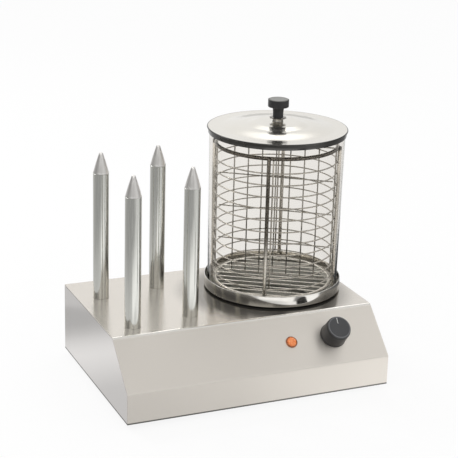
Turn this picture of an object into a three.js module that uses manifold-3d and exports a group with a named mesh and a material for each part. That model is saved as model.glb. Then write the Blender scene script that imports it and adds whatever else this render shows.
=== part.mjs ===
// Hot dog machine: a stainless casing with four heated bun spikes, and a round
// water pan that carries a glass jar, a wire basket and a lid.
// Millimetres, +Z up. The origin is under the middle of the casing, on the
// surface that the feet stand on. The sloping control front faces -Y.

import * as THREE from 'three';
import { mergeVertices } from 'three/addons/utils/BufferGeometryUtils.js';
import Module from 'manifold-3d';

const wasm = await Module();
wasm.setup();

// Casing: its width and depth follow from the spikes' room, the slope and the pan
const casingHeight = 103;
const spikeRoom = 191.5;
const frontHeight = 44;
const slopeRun = 63;
const sheetThickness = 1.2;
const bendInnerRadius = 1.2;
const flangeWidth = 14;
const backRecess = 3;
const clearance = 0.3;
const overrun = 2;

// Feet and the screws that hold them
const footHeight = 8;
const footRadius = 14;
const footInset = 34;
const footRecessRadius = 7;
const footRecessDepth = 4.4;
const footScrewRadius = 2.5;
const footScrewHeadRadius = 5.2;
const footScrewHeadHeight = 2.6;
const weldNutWall = 3;
const weldNutHeight = 4;

// Screws that hold the base plate to the side panels
const baseScrewRadius = 2;
const baseScrewHeadRadius = 4;
const baseScrewHeadHeight = 2.2;
const baseScrewInset = 62;

// Bun spikes: two skewed rows, left of the jar
const spikeRadius = 11.5;
const spikeWall = 1;
const spikeHeight = 220;
const spikeTipLength = 30;
const spikeTipFlatRadius = 2.5;
const spikePlugLength = 10;
const spikeSideInset = 83.5;
const spikeFrontInset = 37.3;
const spikeBackInset = 57.3;
const spikeAcrossStep = 92;
const spikeAcrossSkew = 13.6;
const spikeBackSkew = 5;
const spikeCollarWall = 6;
const spikeCollarHeight = 8;
const spikeTailLength = 4;
const heaterLength = 150;
const heaterTailRadius = 5;
const heaterTailLength = 9;

// Water pan: its band goes round the glass, and its bowl is inside the ledge
const panSideGap = 3.5;
const panFrontGap = 14.5;
const panBackGap = 1.5;
const panFit = 1.3;
const panLift = 4;
const panBandHeight = 15.2;
const panBandLip = 1;
const panWall = 1.2;
const ledgeWidth = 10;
const bowlDepth = 34;
const panHoleClearance = 0.8;
const gasketWidth = 7;
const studRadius = 3;
const studLength = 18;

// Boiler element under the pan
const elementInset = 28;
const elementTubeRadius = 4;
const elementSweep = 5.4;
const elementLegLength = 14;
const clampOverhang = 11;
const clampWidth = 14;
const clampThickness = 2.5;
const clampNutRadius = 5.5;
const clampNutHeight = 4;
const cutoutRadius = 8;
const cutoutHeight = 9;
const cutoutOffset = 28;

// Glass jar
const glassRadius = 100;
const glassWall = 4;
const glassHeight = 240;

// Wire basket
const basketGap = 1.1;
const basketDrop = 23;
const basketTurn = THREE.MathUtils.degToRad(32);
const topRingWire = 2.9;
const ringWire = 1;
const bottomRingWire = 1.2;
const bottomRingLift = 8;
const thinRingCount = 11;
const firstRingDrop = 22;
const lowestRingLift = 20;
const postWire = 2.8;
const innerPostWire = 1.2;
const innerPostOffset = 6;
const wireWeld = 0.5;

// Flat wire panel that parts the basket
const panelTurn = THREE.MathUtils.degToRad(36);
const panelWire = 1;
const panelBarCount = 7;
const panelBarPitch = 21;
const panelRailCount = 5;
const panelLift = 11.8;

// Wire grid in the basket's bottom
const gridWire = 1;
const gridRimWire = 1.2;
const gridPitch = 16;
const gridBarCount = 11;

// Lid
const lidFit = 0.6;
const lidSheet = 1.2;
const lidRimWidth = 12.5;
const lidBossRadius = 15;
const lidDiscRadius = 38;
const lidShoulderRadius = 43;
const lidFlankRadius = 60;
const lidBrimRadius = 75;
const lidDiscDrop = 0.6;
const lidShoulderDrop = 1.6;
const lidFlankDrop = 4.5;
const lidBrimDrop = 6.5;
const lidRise = 8;
const skirtDrop = 9;
const skirtTaper = 2;
const skirtSheet = 0.9;
const lidScrewRadius = 2.5;
const lidScrewHeadRadius = 4.5;
const lidScrewHeadHeight = 2.6;
const lidScrewReach = 16;

// Collar, star washer and knob on the lid
const washerRadius = 13;
const washerNotch = 2.4;
const washerThickness = 1.6;
const washerPoints = 12;
const washerCollarRadius = 8.2;
const washerCollarHeight = 5;
const lidStemRadius = 8.4;
const lidStemWaist = 7.6;
const lidStemHeight = 14;
const lidCapRadius = 15.3;
const lidCapHeight = 13;
const lidCapRound = 1.6;

// Controls, placed on the sloping front
const knobSideInset = 75.5;
const knobAlong = 44;
const knobBaseRadius = 20;
const knobBodyRadius = 18.2;
const knobCapRadius = 17.5;
const knobFaceRadius = 16;
const knobHeight = 27;
const knobCapDepth = 3.6;
const knobRound = 1.4;
const knobStep = 0.7;
const knobGap = 1;
const knobNutRoom = 6;
const knobNutRoomRadius = 10;
const pointerWidth = 1.8;
const pointerLength = 10;
const pointerDepth = 0.6;
const shaftRadius = 3;
const shaftFit = 0.06;
const shaftGrip = 16;
const regulatorSize = 38;
const regulatorDepth = 28;
const bushRadius = 5;
const bushLength = 5;
const regulatorNutRadius = 8;
const regulatorNutHeight = 3.2;
const bladeWidth = 6;
const bladeThickness = 0.8;
const bladeLength = 7;
const lampKnobGap = 66.9;
const lampAlong = 42.5;
const lampBezelRadius = 8.6;
const lampBezelHeight = 1.8;
const lampBarrelRadius = 6.4;
const lampBarrelLength = 24;
const lampRecess = 1;
const lampLensRadius = 7;
const lampLensRise = 3;
const lampNutWall = 3;
const lampNutHeight = 3.5;

// Back panel, cable gland, terminal block and wiring
const ventCount = 6;
const ventWidth = 3;
const ventHeight = 30;
const ventPitch = 12;
const ventSideInset = 140;
const glandSideInset = 50;
const glandLift = 34;
const glandFlangeRadius = 10;
const glandFlangeThickness = 2.4;
const glandBarrelRadius = 7.5;
const glandBarrelLength = 12;
const glandBoreRadius = 4.8;
const glandNutWall = 4;
const glandNutHeight = 4;
const terminalSideInset = 80;
const terminalBackInset = 43;
const terminalWidth = 46;
const terminalDepth = 20;
const terminalHeight = 20;
const terminalStep = 7;
const wiringRadius = 3;
const wiringGap = 0.6;
const wiringStraight = 4;

// Counts of facets
const roundSegments = 48;
const smallSegments = 20;
const screwSegments = 10;
const knobSegments = 28;
const ringSegments = 24;
const wireSides = 4;
const thickWireSides = 6;
const hexSides = 6;
const leadSides = 6;
const leadSteps = 12;
const bendSteps = 3;

// Sizes that follow the glass
const glassInner = glassRadius - glassWall;
const panRadius = glassRadius + panFit + panWall;
const bowlRadius = glassInner - ledgeWidth;
const elementRadius = bowlRadius - elementInset;
const clampLength = 2 * (elementRadius + clampOverhang);
const basketRadius = glassInner - basketGap - 2 * postWire - ringWire + wireWeld;
const basketHeight = glassHeight - basketDrop;
const ringPitch = (basketHeight - firstRingDrop - lowestRingLift) / (thinRingCount - 1);
const panelRailPitch = (basketHeight - panelLift) / (panelRailCount - 1);
const lidRadius = glassRadius + lidFit + skirtSheet + skirtTaper;
const lidFlatInner = lidRadius - lidRimWidth;
const casingWidth = spikeRoom + 2 * panRadius + panSideGap;
const casingDepth = slopeRun + panFrontGap + 2 * panRadius + panBackGap;

// Places worked out from the sizes above
const casingBottom = footHeight;
const casingTop = footHeight + casingHeight;
const casingFront = -casingDepth / 2;
const casingBack = casingDepth / 2;
const breakZ = casingBottom + frontHeight;
const slopeAngle = Math.atan2(casingTop - breakZ, slopeRun);
const bendRadius = bendInnerRadius + sheetThickness;
const sheetUnder = casingTop - sheetThickness;
const backPanelFace = casingBack - backRecess;
const spikeFieldX = spikeSideInset - casingWidth / 2;
const spikeFrontY = casingFront + slopeRun + spikeFrontInset;
const spikeBackY = backPanelFace - spikeBackInset;
const panX = casingWidth / 2 - panSideGap - panRadius;
const panY = casingBack - panBackGap - panRadius;
const knobX = casingWidth / 2 - knobSideInset;
const lampX = knobX - lampKnobGap;
const ventX = ventSideInset - casingWidth / 2;
const glandX = casingWidth / 2 - glandSideInset;
const glandZ = casingBottom + glandLift;
const terminalX = casingWidth / 2 - terminalSideInset;
const terminalY = backPanelFace - terminalBackInset;
const bowlFloor = casingTop - bowlDepth;
const ledgeUnder = casingTop + panLift;
const ledgeTop = ledgeUnder + panWall;
const glassBottom = ledgeTop + clearance;
const glassTop = glassBottom + glassHeight;
const basketBottom = ledgeTop + clearance;
const topRingZ = basketBottom + basketHeight;
const bottomRingZ = basketBottom + bottomRingLift;
const lidUnder = glassTop + clearance;
const lidEdgeTop = lidUnder + lidSheet;
const lidCrown = lidEdgeTop + lidRise;

const root = new THREE.Group();

// Materials
function steel(color, roughness) {
  return new THREE.MeshStandardMaterial({ color, roughness, metalness: 1 });
}

function plain(color, roughness) {
  return new THREE.MeshStandardMaterial({ color, roughness, metalness: 0 });
}

const brushedSteel = steel('#d3cdc6', 0.38);
const polishedSteel = steel('#d9d6d0', 0.14);
const wireSteel = steel('#96918a', 0.3);
const zincSteel = steel('#b4b4b0', 0.4);
const rubber = plain('#1d1d1e', 0.8);
const blackPlastic = plain('#29292b', 0.45);
const whitePlastic = plain('#e9e9e6', 0.5);
const ceramic = plain('#d8d0bf', 0.7);
const amberLens = plain('#eb8246', 0.2);
const wiringSleeve = plain('#5a4a42', 0.6);
const clearGlass = new THREE.MeshStandardMaterial({
  color: '#f4f6f5',
  roughness: 0.05,
  metalness: 0,
  transparent: true,
  opacity: 0.25,
});

// A closed geometry as a solid whose faces point out.
function toSolid(geometry) {
  const bare = geometry.clone();
  bare.deleteAttribute('normal');
  bare.deleteAttribute('uv');
  const welded = mergeVertices(bare);
  const points = welded.attributes.position.array;
  const source = welded.index.array;
  const triangles = [];
  let volume = 0;
  const a = new THREE.Vector3();
  const b = new THREE.Vector3();
  const c = new THREE.Vector3();
  for (let i = 0; i < source.length; i += 3) {
    const [p, q, r] = [source[i], source[i + 1], source[i + 2]];
    if (p === q || q === r || r === p) continue;
    triangles.push(p, q, r);
    a.fromArray(points, p * 3);
    b.fromArray(points, q * 3);
    c.fromArray(points, r * 3);
    volume += a.dot(b.cross(c));
  }
  if (volume < 0) triangles.reverse();
  return new wasm.Manifold(new wasm.Mesh({
    numProp: 3,
    vertProperties: new Float32Array(points),
    triVerts: new Uint32Array(triangles),
  }));
}

function join(geometries) {
  return geometries.map(toSolid).reduce((whole, piece) => whole.add(piece));
}

function cut(solid, geometries) {
  return geometries.map(toSolid).reduce((whole, tool) => whole.subtract(tool), solid);
}

// Adds a named piece made from a solid to a group.
function addPiece(name, solid, material, parent = root) {
  const mesh = solid.getMesh();
  const geometry = new THREE.BufferGeometry();
  geometry.setAttribute('position', new THREE.BufferAttribute(new Float32Array(mesh.vertProperties), 3));
  geometry.setIndex(new THREE.BufferAttribute(new Uint32Array(mesh.triVerts), 1));
  geometry.computeVertexNormals();
  const piece = new THREE.Mesh(geometry, material);
  piece.name = name;
  parent.add(piece);
  return piece;
}

// A rod along Z between two heights.
function rod(radius, low, high, segments = smallSegments) {
  const geometry = new THREE.CylinderGeometry(radius, radius, high - low, segments);
  return geometry.rotateX(Math.PI / 2).translate(0, 0, (low + high) / 2);
}

// A box between two corners.
function block(low, high) {
  const size = high.map((value, i) => value - low[i]);
  const middle = high.map((value, i) => (value + low[i]) / 2);
  return new THREE.BoxGeometry(...size).translate(...middle);
}

// A turned piece about Z from [radius, height] points.
function turned(points, segments = smallSegments) {
  const profile = points.map(([radius, height]) => new THREE.Vector2(radius, height));
  return new THREE.LatheGeometry(profile, segments).rotateX(Math.PI / 2);
}

// A flat ring or tube about Z with a rectangular section.
function tube(inner, outer, low, high, segments = smallSegments) {
  return turned([[inner, low], [outer, low], [outer, high], [inner, high], [inner, low]], segments);
}

// A closed ring of wire about Z.
function wireRing(radius, wire, height, sides = wireSides) {
  const geometry = new THREE.TorusGeometry(radius, wire, sides, ringSegments);
  return geometry.rotateZ(-basketTurn).translate(0, 0, height);
}

// A straight wire between two points.
function wire(radius, from, to, sides = wireSides) {
  const start = new THREE.Vector3(...from);
  const along = new THREE.Vector3(...to).sub(start);
  const geometry = new THREE.CylinderGeometry(radius, radius, along.length(), sides);
  const up = new THREE.Vector3(0, 1, 0);
  const turn = new THREE.Quaternion().setFromUnitVectors(up, along.clone().normalize());
  const middle = start.addScaledVector(along, 1 / 2);
  return geometry.applyQuaternion(turn).translate(middle.x, middle.y, middle.z);
}

// A side view outline, in [y, z], drawn out along X between two places.
function alongX(outline, low, high) {
  const shape = new THREE.Shape(outline.map(([y, z]) => new THREE.Vector2(y, z)));
  const geometry = new THREE.ExtrudeGeometry(shape, { depth: high - low, bevelEnabled: false });
  const sideView = new THREE.Matrix4().makeBasis(
    new THREE.Vector3(0, 1, 0),
    new THREE.Vector3(0, 0, 1),
    new THREE.Vector3(1, 0, 0),
  );
  return geometry.applyMatrix4(sideView).translate(low, 0, 0);
}

// Unit vectors of the leg between two corners: along it, and to its right.
function legOf(from, to) {
  const length = Math.hypot(to[0] - from[0], to[1] - from[1]);
  const along = [(to[0] - from[0]) / length, (to[1] - from[1]) / length];
  return { along, right: [along[1], -along[0]] };
}

// The casing's outer corners in side view, from the front's foot to the back.
const casingCorners = [
  [casingFront, casingBottom],
  [casingFront, breakZ],
  [casingFront + slopeRun, casingTop],
  [casingBack, casingTop],
];

// The same line of corners moved inwards, with mitred bends.
function insetCorners(corners, inset) {
  return corners.map((corner, i) => {
    const before = i > 0 ? legOf(corners[i - 1], corner) : null;
    const after = i < corners.length - 1 ? legOf(corner, corners[i + 1]) : null;
    const one = (before ?? after).right;
    const two = (after ?? before).right;
    const scale = inset / (1 + one[0] * two[0] + one[1] * two[1]);
    return [corner[0] + (one[0] + two[0]) * scale, corner[1] + (one[1] + two[1]) * scale];
  });
}

// The outline of a folded sheet with rounded bends.
function foldedSheet(corners, thickness, radius) {
  const inside = insetCorners(corners, thickness);
  const outer = [corners[0]];
  const inner = [inside[0]];
  for (let i = 1; i < corners.length - 1; i += 1) {
    const before = legOf(corners[i - 1], corners[i]);
    const after = legOf(corners[i], corners[i + 1]);
    const turn = Math.acos(before.along[0] * after.along[0] + before.along[1] * after.along[1]);
    const setback = radius * Math.tan(turn / 2);
    const centre = [0, 1].map((k) => corners[i][k] - before.along[k] * setback + before.right[k] * radius);
    for (let step = 0; step <= bendSteps; step += 1) {
      const angle = (turn * step) / bendSteps;
      const out = [0, 1].map((k) => before.along[k] * Math.sin(angle) - before.right[k] * Math.cos(angle));
      outer.push(centre.map((value, k) => value + out[k] * radius));
      inner.push(centre.map((value, k) => value + out[k] * (radius - thickness)));
    }
  }
  outer.push(corners[corners.length - 1]);
  inner.push(inside[inside.length - 1]);
  return [...outer, ...inner.reverse()];
}

// Puts a geometry on the sloping front: its own z points out of the slope.
function onSlope(geometry, x, along) {
  return geometry.translate(x, along, 0).rotateX(slopeAngle).translate(0, casingFront, breakZ);
}

const spikePlaces = [];
for (const [rowY, lean] of [[spikeFrontY, 1 / 2], [spikeBackY, -1 / 2]]) {
  for (const across of [-1 / 2, 1 / 2]) {
    spikePlaces.push([
      spikeFieldX + across * spikeAcrossStep + lean * spikeBackSkew,
      rowY + across * spikeAcrossSkew,
    ]);
  }
}

const footPlaces = [];
const baseScrewPlaces = [];
for (const sideX of [-1, 1]) {
  for (const sideY of [-1, 1]) {
    footPlaces.push([sideX * (casingWidth / 2 - footInset), sideY * (casingDepth / 2 - footInset)]);
    baseScrewPlaces.push([
      sideX * (casingWidth / 2 - sheetThickness - flangeWidth / 2),
      sideY * (casingDepth / 2 - baseScrewInset),
    ]);
  }
}

// Casing wrap: upright front, slope and top in one folded sheet
function makeCasingWrap() {
  const outline = foldedSheet(casingCorners, sheetThickness, bendRadius);
  const sheet = toSolid(alongX(outline, -casingWidth / 2, casingWidth / 2));
  const low = sheetUnder - overrun;
  const high = casingTop + overrun;
  const spikeHoles = spikePlaces.map(([x, y]) => rod(spikeRadius + clearance, low, high).translate(x, y, 0));
  const panHole = rod(bowlRadius + panHoleClearance, low, high, roundSegments).translate(panX, panY, 0);
  const deep = -sheetThickness - overrun;
  const knobHole = onSlope(rod(bushRadius + clearance, deep, overrun), knobX, knobAlong);
  const lampHole = onSlope(rod(lampBarrelRadius + clearance, deep, overrun), lampX, lampAlong);
  addPiece('casing_wrap', cut(sheet, [...spikeHoles, panHole, knobHole, lampHole]), brushedSteel);
}

// Side panels with a flange that the base plate is screwed to
function makeSidePanels() {
  const inset = sheetThickness + clearance;
  const outline = [...insetCorners(casingCorners, inset), [casingBack, casingBottom]];
  const flangeLow = casingBottom + sheetThickness;
  const flangeTop = flangeLow + sheetThickness;
  const nutTop = flangeTop + weldNutHeight;
  const nut = rod(baseScrewRadius + weldNutWall, flangeLow, nutTop, screwSegments);
  const bore = rod(baseScrewRadius + clearance, casingBottom, nutTop + overrun, screwSegments);
  for (const [name, side] of [['side_panel_left', -1], ['side_panel_right', 1]]) {
    const outerX = side * casingWidth / 2;
    const innerX = side * (casingWidth / 2 - sheetThickness);
    const flangeX = innerX - side * flangeWidth;
    const panel = alongX(outline, Math.min(outerX, innerX), Math.max(outerX, innerX));
    const flange = block(
      [Math.min(flangeX, outerX), casingFront + inset, flangeLow],
      [Math.max(flangeX, outerX), backPanelFace - inset, flangeTop],
    );
    const places = baseScrewPlaces.filter(([x]) => x * side > 0);
    const nuts = places.map(([x, y]) => nut.clone().translate(x, y, 0));
    const bores = places.map(([x, y]) => bore.clone().translate(x, y, 0));
    addPiece(name, cut(join([panel, flange, ...nuts]), bores), brushedSteel);
  }
}

// Back panel, set in between the side panels, with vents and the gland's hole
function makeBackPanel() {
  const halfWidth = casingWidth / 2 - sheetThickness - clearance;
  const faceIn = backPanelFace - sheetThickness;
  const panel = toSolid(block(
    [-halfWidth, faceIn, casingBottom],
    [halfWidth, backPanelFace, sheetUnder - clearance],
  ));
  const middleZ = casingBottom + casingHeight / 2;
  const vents = [];
  for (let i = 0; i < ventCount; i += 1) {
    const x = ventX + (i - (ventCount - 1) / 2) * ventPitch;
    vents.push(block(
      [x - ventWidth / 2, faceIn - overrun, middleZ - ventHeight / 2],
      [x + ventWidth / 2, backPanelFace + overrun, middleZ + ventHeight / 2],
    ));
  }
  const glandHole = rod(glandBarrelRadius + clearance, -overrun, sheetThickness + overrun)
    .rotateX(-Math.PI / 2).translate(glandX, faceIn, glandZ);
  addPiece('back_panel', cut(panel, [...vents, glandHole]), brushedSteel);
}

// Base plate with a weld nut over each foot
function makeBasePlate() {
  const halfWidth = casingWidth / 2 - sheetThickness - clearance;
  const top = casingBottom + sheetThickness;
  const plate = block(
    [-halfWidth, casingFront + sheetThickness + clearance, casingBottom],
    [halfWidth, backPanelFace - sheetThickness - clearance, top],
  );
  const low = casingBottom - overrun;
  const nutTop = top + weldNutHeight;
  const nut = rod(footScrewRadius + weldNutWall, casingBottom, nutTop, screwSegments);
  const footHole = rod(footScrewRadius + clearance, low, nutTop + overrun, screwSegments);
  const screwHole = rod(baseScrewRadius + clearance, low, top + overrun, screwSegments);
  const nuts = footPlaces.map(([x, y]) => nut.clone().translate(x, y, 0));
  const footHoles = footPlaces.map(([x, y]) => footHole.clone().translate(x, y, 0));
  const screwHoles = baseScrewPlaces.map(([x, y]) => screwHole.clone().translate(x, y, 0));
  addPiece('base_plate', cut(join([plate, ...nuts]), [...footHoles, ...screwHoles]), zincSteel);
}

// Feet and their screws
function makeFeet() {
  footPlaces.forEach(([x, y], i) => {
    const foot = cut(toSolid(rod(footRadius, 0, footHeight)), [
      rod(footRecessRadius, -overrun, footRecessDepth, screwSegments),
      rod(footScrewRadius + clearance, -overrun, footHeight + overrun, screwSegments),
    ]);
    addPiece(`foot_${i + 1}`, foot, rubber).position.set(x, y, 0);
    const headTop = footRecessDepth - clearance;
    const headLow = headTop - footScrewHeadHeight;
    const screwTop = casingBottom + sheetThickness + weldNutHeight;
    const screw = join([
      rod(footScrewHeadRadius, headLow, headTop, screwSegments),
      rod(footScrewRadius, headLow, screwTop, screwSegments),
    ]);
    addPiece(`foot_screw_${i + 1}`, screw, zincSteel).position.set(x, y, 0);
  });
}

// Screws through the base plate into the side panels' flanges
function makeBaseScrews() {
  baseScrewPlaces.forEach(([x, y], i) => {
    const headTop = casingBottom - clearance;
    const headLow = headTop - baseScrewHeadHeight;
    const screwTop = casingBottom + 2 * sheetThickness + weldNutHeight;
    const screw = join([
      rod(baseScrewHeadRadius, headLow, headTop, screwSegments),
      rod(baseScrewRadius, headLow, screwTop, screwSegments),
    ]);
    addPiece(`base_screw_${i + 1}`, screw, zincSteel).position.set(x, y, 0);
  });
}

// Bun spikes: a tube, a turned tip, a heater inside and a collar under the top
function makeSpikes() {
  const tubeBottom = sheetUnder - spikeCollarHeight - spikeTailLength;
  const shoulder = casingTop + spikeHeight - spikeTipLength;
  const tipTop = casingTop + spikeHeight;
  const inner = spikeRadius - spikeWall;
  const plugRadius = inner - clearance;
  spikePlaces.forEach(([x, y], i) => {
    const body = toSolid(tube(inner, spikeRadius, tubeBottom, shoulder));
    addPiece(`spike_tube_${i + 1}`, body, polishedSteel).position.set(x, y, 0);
    const tip = toSolid(turned([
      [0, shoulder - spikePlugLength],
      [plugRadius, shoulder - spikePlugLength],
      [plugRadius, shoulder],
      [spikeRadius, shoulder],
      [spikeTipFlatRadius, tipTop],
      [0, tipTop],
    ]));
    addPiece(`spike_tip_${i + 1}`, tip, polishedSteel).position.set(x, y, 0);
    const heater = join([
      rod(plugRadius, tubeBottom, tubeBottom + heaterLength),
      rod(heaterTailRadius, tubeBottom - heaterTailLength, tubeBottom + heaterLength),
    ]);
    addPiece(`spike_heater_${i + 1}`, heater, ceramic).position.set(x, y, 0);
    const collar = toSolid(tube(
      spikeRadius + clearance,
      spikeRadius + clearance + spikeCollarWall,
      sheetUnder - spikeCollarHeight,
      sheetUnder,
    ));
    addPiece(`spike_collar_${i + 1}`, collar, zincSteel).position.set(x, y, 0);
  });
}

const jar = new THREE.Group();
jar.position.set(panX, panY, 0);
root.add(jar);

// Water pan: a band on a ledge round a deep bowl, with a stud under its floor
function makeWaterPan() {
  const rimTop = ledgeUnder + panBandHeight;
  const pan = turned([
    [0, bowlFloor + panWall],
    [bowlRadius - panWall, bowlFloor + panWall],
    [bowlRadius - panWall, ledgeTop],
    [panRadius - panWall, ledgeTop],
    [panRadius - panWall, rimTop],
    [panRadius, rimTop],
    [panRadius, ledgeUnder - panBandLip],
    [panRadius - panWall, ledgeUnder - panBandLip],
    [panRadius - panWall, ledgeUnder],
    [bowlRadius, ledgeUnder],
    [bowlRadius, bowlFloor],
    [0, bowlFloor],
  ], roundSegments);
  const stud = rod(studRadius, bowlFloor - studLength, bowlFloor + panWall / 2);
  addPiece('water_pan', join([pan, stud]), polishedSteel, jar);
  const gasketInner = bowlRadius + clearance;
  const gasket = tube(gasketInner, gasketInner + gasketWidth, casingTop, ledgeUnder, roundSegments);
  addPiece('pan_gasket', toSolid(gasket), rubber, jar);
}

// Boiler element, its clamp bar with a captive nut, and the safety cut-out
function makeBoiler() {
  const tubeTop = bowlFloor - clearance;
  const tubeMiddle = tubeTop - elementTubeRadius;
  const tubeLow = tubeMiddle - elementTubeRadius;
  const legs = [-1, 1].map((side) => {
    const angle = (side * elementSweep) / 2;
    const x = elementRadius * Math.cos(angle);
    const y = elementRadius * Math.sin(angle);
    return rod(elementTubeRadius, tubeLow - elementLegLength, tubeMiddle, leadSides).translate(x, y, 0);
  });
  const path = new THREE.CatmullRomCurve3(arcPoints(elementRadius, elementSweep, tubeMiddle));
  const section = new THREE.Shape(circlePoints(elementTubeRadius, leadSides));
  const ring = new THREE.ExtrudeGeometry(section, {
    steps: ringSegments,
    bevelEnabled: false,
    extrudePath: path,
  });
  addPiece('boiler_element', join([ring, ...legs]), steel('#7d7872', 0.5), jar);

  const barTop = tubeLow - clearance;
  const barLow = barTop - clampThickness;
  const bar = join([
    block([-clampLength / 2, -clampWidth / 2, barLow], [clampLength / 2, clampWidth / 2, barTop]),
    rod(clampNutRadius, barLow - clampNutHeight, barTop),
  ]);
  const bore = rod(studRadius + clearance, barLow - clampNutHeight - overrun, barTop + overrun);
  addPiece('element_clamp', cut(bar, [bore]), zincSteel, jar);

  const cutoutTop = bowlFloor - clearance;
  const cutout = rod(cutoutRadius, cutoutTop - cutoutHeight, cutoutTop).translate(0, cutoutOffset, 0);
  addPiece('safety_cutout', toSolid(cutout), ceramic, jar);
}

function arcPoints(radius, sweep, height) {
  const points = [];
  for (let i = 0; i <= ringSegments; i += 1) {
    const angle = sweep * (i / ringSegments - 1 / 2);
    points.push(new THREE.Vector3(radius * Math.cos(angle), radius * Math.sin(angle), height));
  }
  return points;
}

function circlePoints(radius, count) {
  const points = [];
  for (let i = 0; i < count; i += 1) {
    const angle = (2 * Math.PI * i) / count;
    points.push(new THREE.Vector2(radius * Math.cos(angle), radius * Math.sin(angle)));
  }
  return points;
}

// Glass jar, open at both ends, on the pan's ledge
function makeGlass() {
  const glass = tube(glassInner, glassRadius, glassBottom, glassTop, roundSegments);
  addPiece('glass_jar', toSolid(glass), clearGlass, jar);
}

// Basket cage: a thick top ring, thin rings and four pairs of upright wires
function makeBasketCage() {
  const rings = [
    wireRing(basketRadius, topRingWire, topRingZ, thickWireSides),
    wireRing(basketRadius, bottomRingWire, bottomRingZ),
  ];
  for (let i = 0; i < thinRingCount; i += 1) {
    rings.push(wireRing(basketRadius, ringWire, topRingZ - firstRingDrop - i * ringPitch));
  }
  const outerReach = basketRadius + ringWire + postWire - wireWeld;
  const innerReach = basketRadius - ringWire - innerPostWire + wireWeld;
  const lowestThinRingZ = topRingZ - firstRingDrop - (thinRingCount - 1) * ringPitch;
  const posts = [];
  for (let quarter = 0; quarter < 4; quarter += 1) {
    const angle = (quarter * Math.PI) / 2 - basketTurn;
    const outerPost = rod(postWire, basketBottom, topRingZ + topRingWire / 2, wireSides);
    posts.push(outerPost.translate(outerReach, 0, 0).rotateZ(angle));
    const innerPost = rod(innerPostWire, lowestThinRingZ, topRingZ, wireSides);
    posts.push(innerPost.translate(innerReach, innerPostOffset, 0).rotateZ(angle));
  }
  addPiece('basket_cage', join([...rings, ...posts]), wireSteel, jar);
}

// Separator: upright bars welded to level rails, across the basket
function makeSeparator() {
  const half = basketRadius * Math.cos(Math.PI / ringSegments) - topRingWire - clearance;
  const lowestZ = topRingZ - (panelRailCount - 1) * panelRailPitch;
  const pieces = [];
  for (let i = 0; i < panelRailCount; i += 1) {
    const z = topRingZ - i * panelRailPitch;
    pieces.push(wire(panelWire, [-half, 0, z], [half, 0, z]));
  }
  for (let i = 0; i < panelBarCount; i += 1) {
    const x = (i - (panelBarCount - 1) / 2) * panelBarPitch;
    const y = 2 * panelWire - wireWeld;
    pieces.push(wire(panelWire, [x, y, lowestZ - panelWire], [x, y, topRingZ + 2 * panelWire]));
  }
  const panel = addPiece('basket_separator', join(pieces), wireSteel, jar);
  panel.rotation.z = -panelTurn;
}

// Floor grid: parallel bars in a rim that lies inside the cage's bottom ring
function makeFloorGrid() {
  const rimRadius = basketRadius - bottomRingWire - gridRimWire - clearance;
  const pieces = [new THREE.TorusGeometry(rimRadius, gridRimWire, wireSides, ringSegments)];
  for (let i = 0; i < gridBarCount; i += 1) {
    const y = (i - (gridBarCount - 1) / 2) * gridPitch;
    const half = Math.sqrt(Math.max(rimRadius ** 2 - y ** 2, 0)) - gridRimWire / 2;
    if (half > gridPitch) pieces.push(wire(gridWire, [-half, y, 0], [half, y, 0]));
  }
  const grid = addPiece('basket_floor_grid', join(pieces), wireSteel, jar);
  grid.rotation.z = -basketTurn;
  grid.position.z = bottomRingZ;
}

// Lid: a raised disc, a sloping flank, a flat rim and a tapered skirt round the glass
function makeLid() {
  const dome = [
    [lidBossRadius, lidRise],
    [lidDiscRadius, lidRise - lidDiscDrop],
    [lidShoulderRadius, lidRise - lidShoulderDrop],
    [lidFlankRadius, lidRise - lidFlankDrop],
    [lidBrimRadius, lidRise - lidBrimDrop],
    [lidFlatInner, 0],
  ];
  const top = dome.map(([radius, rise]) => [radius, lidEdgeTop + rise]);
  const under = dome.map(([radius, rise]) => [radius, lidUnder + rise]).reverse();
  const skirtLow = lidEdgeTop - skirtDrop;
  const shell = toSolid(turned([
    [0, lidCrown],
    ...top,
    [lidRadius, lidEdgeTop],
    [lidRadius - skirtTaper, skirtLow],
    [lidRadius - skirtTaper - skirtSheet, skirtLow],
    [lidRadius - skirtSheet, lidUnder],
    ...under,
    [0, lidCrown - lidSheet],
  ], roundSegments));
  const hole = rod(lidScrewRadius + clearance, lidUnder, lidCrown + overrun);
  addPiece('lid_shell', cut(shell, [hole]), steel('#e6e1d8', 0.3), jar);

  const headTop = lidCrown - lidSheet - clearance;
  const screw = join([
    rod(lidScrewHeadRadius, headTop - lidScrewHeadHeight, headTop),
    rod(lidScrewRadius, headTop - lidScrewHeadHeight, headTop + lidScrewReach),
  ]);
  addPiece('lid_screw', screw, zincSteel, jar);
}

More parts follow.
